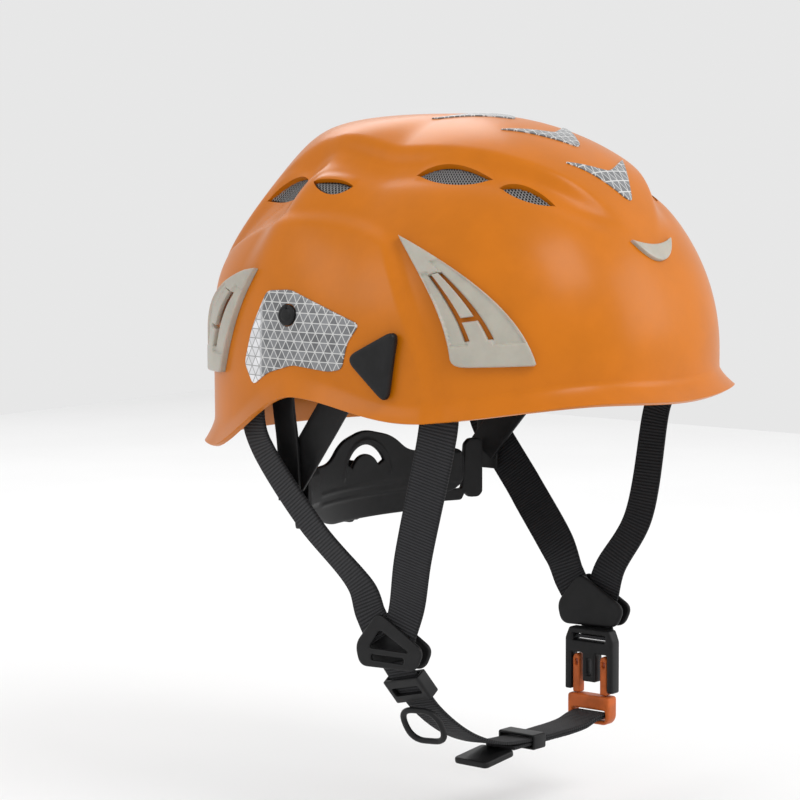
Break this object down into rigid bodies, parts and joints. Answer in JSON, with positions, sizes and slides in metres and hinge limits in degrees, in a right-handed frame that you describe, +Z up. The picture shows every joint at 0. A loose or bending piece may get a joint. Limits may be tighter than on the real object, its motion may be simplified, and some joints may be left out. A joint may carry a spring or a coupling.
{
  "type": "arborist climbing helmet",
  "caption": "Arborist climbing helmet: hard dome over a foam liner, headband with dial-tightened nape cradle, lamp clips, side accessory sockets and chin strap with side-release buckle.",
  "frame": {"origin": "centre of the head opening at brow level, midway between the temples", "axes": "+Z up, towards the top of the dome; -Y towards the brow, +Y towards the nape; -X the wearer's right, +X the wearer's left. Millimetres in the source."},
  "size_m": [0.2332, 0.2755, 0.3337],
  "materials": {
    "shell_orange": "satin gloss",
    "liner_foam": "moulded bead foam",
    "vent_mesh": "fine woven mesh",
    "grey_plastic": "satin, slightly translucent",
    "reflector": "prismatic reflective sheet",
    "black_plastic": "satin",
    "pad_cloth": "knitted cover over foam",
    "webbing": "flat woven",
    "buckle_orange": "satin"
  },
  "bodies": {
    "helmet": {"outer_shell": "shell_orange", "foam_liner": "liner_foam", "rear_vent_mesh_right": "vent_mesh", "rear_vent_mesh_left": "vent_mesh", "front_vent_mesh_right": "vent_mesh", "front_vent_mesh_left": "vent_mesh", "front_lamp_clip_right": "grey_plastic", "front_lamp_clip_left": "grey_plastic", "rear_lamp_clip_right": "grey_plastic", "rear_lamp_clip_left": "grey_plastic", "front_badge": "grey_plastic", "side_reflector_right": "reflector", "side_reflector_left": "reflector", "crown_mark_top": "reflector", "crown_mark_middle": "reflector", "crown_mark_front": "reflector", "round_plug_right": "black_plastic", "round_plug_left": "black_plastic", "brow_band": "black_plastic", "divider_frame_right": "black_plastic", "divider_frame_left": "black_plastic", "divider_plate_right": "black_plastic", "divider_plate_left": "black_plastic", "front_anchor_right": "black_plastic", "front_anchor_left": "black_plastic", "rear_anchor_right": "black_plastic", "rear_anchor_left": "black_plastic", "strap_adjuster": "black_plastic", "adjuster_ring": "black_plastic", "strap_end_tip": "black_plastic", "buckle_frame": "black_plastic", "brow_pad": "pad_cloth", "crown_pad": "pad_cloth", "front_webbing_right": "webbing", "front_webbing_left": "webbing", "rear_webbing_right": "webbing", "rear_webbing_left": "webbing", "chin_webbing": "webbing", "buckle_webbing": "webbing"},
    "cradle": {"nape_cradle": "black_plastic", "gear_cover": "black_plastic"},
    "dial": {"dial_knob": "black_plastic", "pinion_gear": "grey_plastic"},
    "rack_right": {"rack_right": "black_plastic"},
    "rack_left": {"rack_left": "black_plastic"},
    "arm_right": {"hanging_arm_right": "black_plastic"},
    "arm_left": {"hanging_arm_left": "black_plastic"},
    "strap_right": {"side_strap_right": "black_plastic"},
    "strap_left": {"side_strap_left": "black_plastic"},
    "front_tongue_right": {"front_clip_tongue_right": "grey_plastic"},
    "front_tongue_left": {"front_clip_tongue_left": "grey_plastic"},
    "rear_tongue_right": {"rear_clip_tongue_right": "grey_plastic"},
    "rear_tongue_left": {"rear_clip_tongue_left": "grey_plastic"},
    "plug_right": {"side_plug_right": "black_plastic"},
    "plug_left": {"side_plug_left": "black_plastic"},
    "buckle_half": {"buckle_plug": "buckle_orange", "chin_webbing_loop": "webbing"},
    "prong_front": {"buckle_prong_front": "buckle_orange"},
    "prong_rear": {"buckle_prong_rear": "buckle_orange"},
    "keeper": {"strap_keeper": "black_plastic"}
  },
  "joints": [
    {"name": "cradle_height", "type": "slide", "parent": "helmet", "child": "cradle", "axis": [0, 0, 1], "range_m": [-0.006, 0.006]},
    {"name": "dial_spin", "type": "hinge", "parent": "cradle", "child": "dial", "pos_m": [0, 0.082, -0.0825], "axis": [0, 1, 0], "range_deg": [0, 100]},
    {"name": "rack_right_wrap", "type": "hinge", "parent": "cradle", "child": "rack_right", "pos_m": [0, -0.075, -0.0755], "axis": [0, 0, -1], "range_deg": [0, 2.4]},
    {"name": "rack_left_wrap", "type": "hinge", "parent": "cradle", "child": "rack_left", "pos_m": [0, -0.075, -0.0895], "axis": [0, 0, 1], "range_deg": [0, 2.4]},
    {"name": "arm_right_swing", "type": "hinge", "parent": "helmet", "child": "arm_right", "pos_m": [-0.09, 0.05, -0.015], "axis": [0, -1, 0], "range_deg": [0, 3.6]},
    {"name": "arm_left_swing", "type": "hinge", "parent": "helmet", "child": "arm_left", "pos_m": [0.09, 0.05, -0.015], "axis": [0, 1, 0], "range_deg": [0, 3.6]},
    {"name": "strap_right_swing", "type": "hinge", "parent": "helmet", "child": "strap_right", "pos_m": [-0.0864, -0.002, -0.003], "axis": [0, 0, -1], "range_deg": [0, 6.1]},
    {"name": "strap_left_swing", "type": "hinge", "parent": "helmet", "child": "strap_left", "pos_m": [0.0864, -0.002, -0.003], "axis": [0, 0, 1], "range_deg": [0, 6.1]},
    {"name": "front_tongue_right_lift", "type": "hinge", "parent": "helmet", "child": "front_tongue_right", "pos_m": [-0.0984, -0.056, 0.0438], "axis": [-0.3723, 0.8905, -0.2616], "range_deg": [0, 10], "stiffness_Nm_per_rad": 0.05},
    {"name": "front_tongue_left_lift", "type": "hinge", "parent": "helmet", "child": "front_tongue_left", "pos_m": [0.0984, -0.056, 0.0438], "axis": [-0.3723, -0.8905, 0.2616], "range_deg": [0, 10], "stiffness_Nm_per_rad": 0.05},
    {"name": "rear_tongue_right_lift", "type": "hinge", "parent": "helmet", "child": "rear_tongue_right", "pos_m": [-0.1, 0.0772, 0.0312], "axis": [0.4687, 0.8546, 0.2234], "range_deg": [0, 10], "stiffness_Nm_per_rad": 0.05},
    {"name": "rear_tongue_left_lift", "type": "hinge", "parent": "helmet", "child": "rear_tongue_left", "pos_m": [0.1, 0.0772, 0.0312], "axis": [0.4687, -0.8546, -0.2234], "range_deg": [0, 10], "stiffness_Nm_per_rad": 0.05},
    {"name": "side_plug_right_pull", "type": "slide", "parent": "helmet", "child": "plug_right", "axis": [-1, 0, 0], "range_m": [0, 0.012]},
    {"name": "side_plug_left_pull", "type": "slide", "parent": "helmet", "child": "plug_left", "axis": [1, 0, 0], "range_m": [0, 0.012]},
    {"name": "buckle_release", "type": "slide", "parent": "helmet", "child": "buckle_half", "axis": [0, 0, -1], "range_m": [0, 0.026]},
    {"name": "prong_front_squeeze", "type": "hinge", "parent": "buckle_half", "child": "prong_front", "pos_m": [0.068, -0.0418, -0.1906], "axis": [-1, 0, 0], "range_deg": [0, 5.5], "stiffness_Nm_per_rad": 0.05},
    {"name": "prong_rear_squeeze", "type": "hinge", "parent": "buckle_half", "child": "prong_rear", "pos_m": [0.068, -0.0242, -0.1906], "axis": [1, 0, 0], "range_deg": [0, 5.5], "stiffness_Nm_per_rad": 0.05},
    {"name": "keeper_slide", "type": "slide", "parent": "helmet", "child": "keeper", "axis": [0.9991, -0.0432, 0], "range_m": [0, 0.02]}
  ],
  "couplings": [
    {"joint": "rack_right_wrap", "follows": "dial_spin", "ratio": 0.0236},
    {"joint": "rack_left_wrap", "follows": "dial_spin", "ratio": 0.0236},
    {"joint": "arm_right_swing", "follows": "dial_spin", "ratio": 0.035},
    {"joint": "arm_left_swing", "follows": "dial_spin", "ratio": 0.035},
    {"joint": "strap_right_swing", "follows": "dial_spin", "ratio": 0.06},
    {"joint": "strap_left_swing", "follows": "dial_spin", "ratio": 0.06}
  ]
}
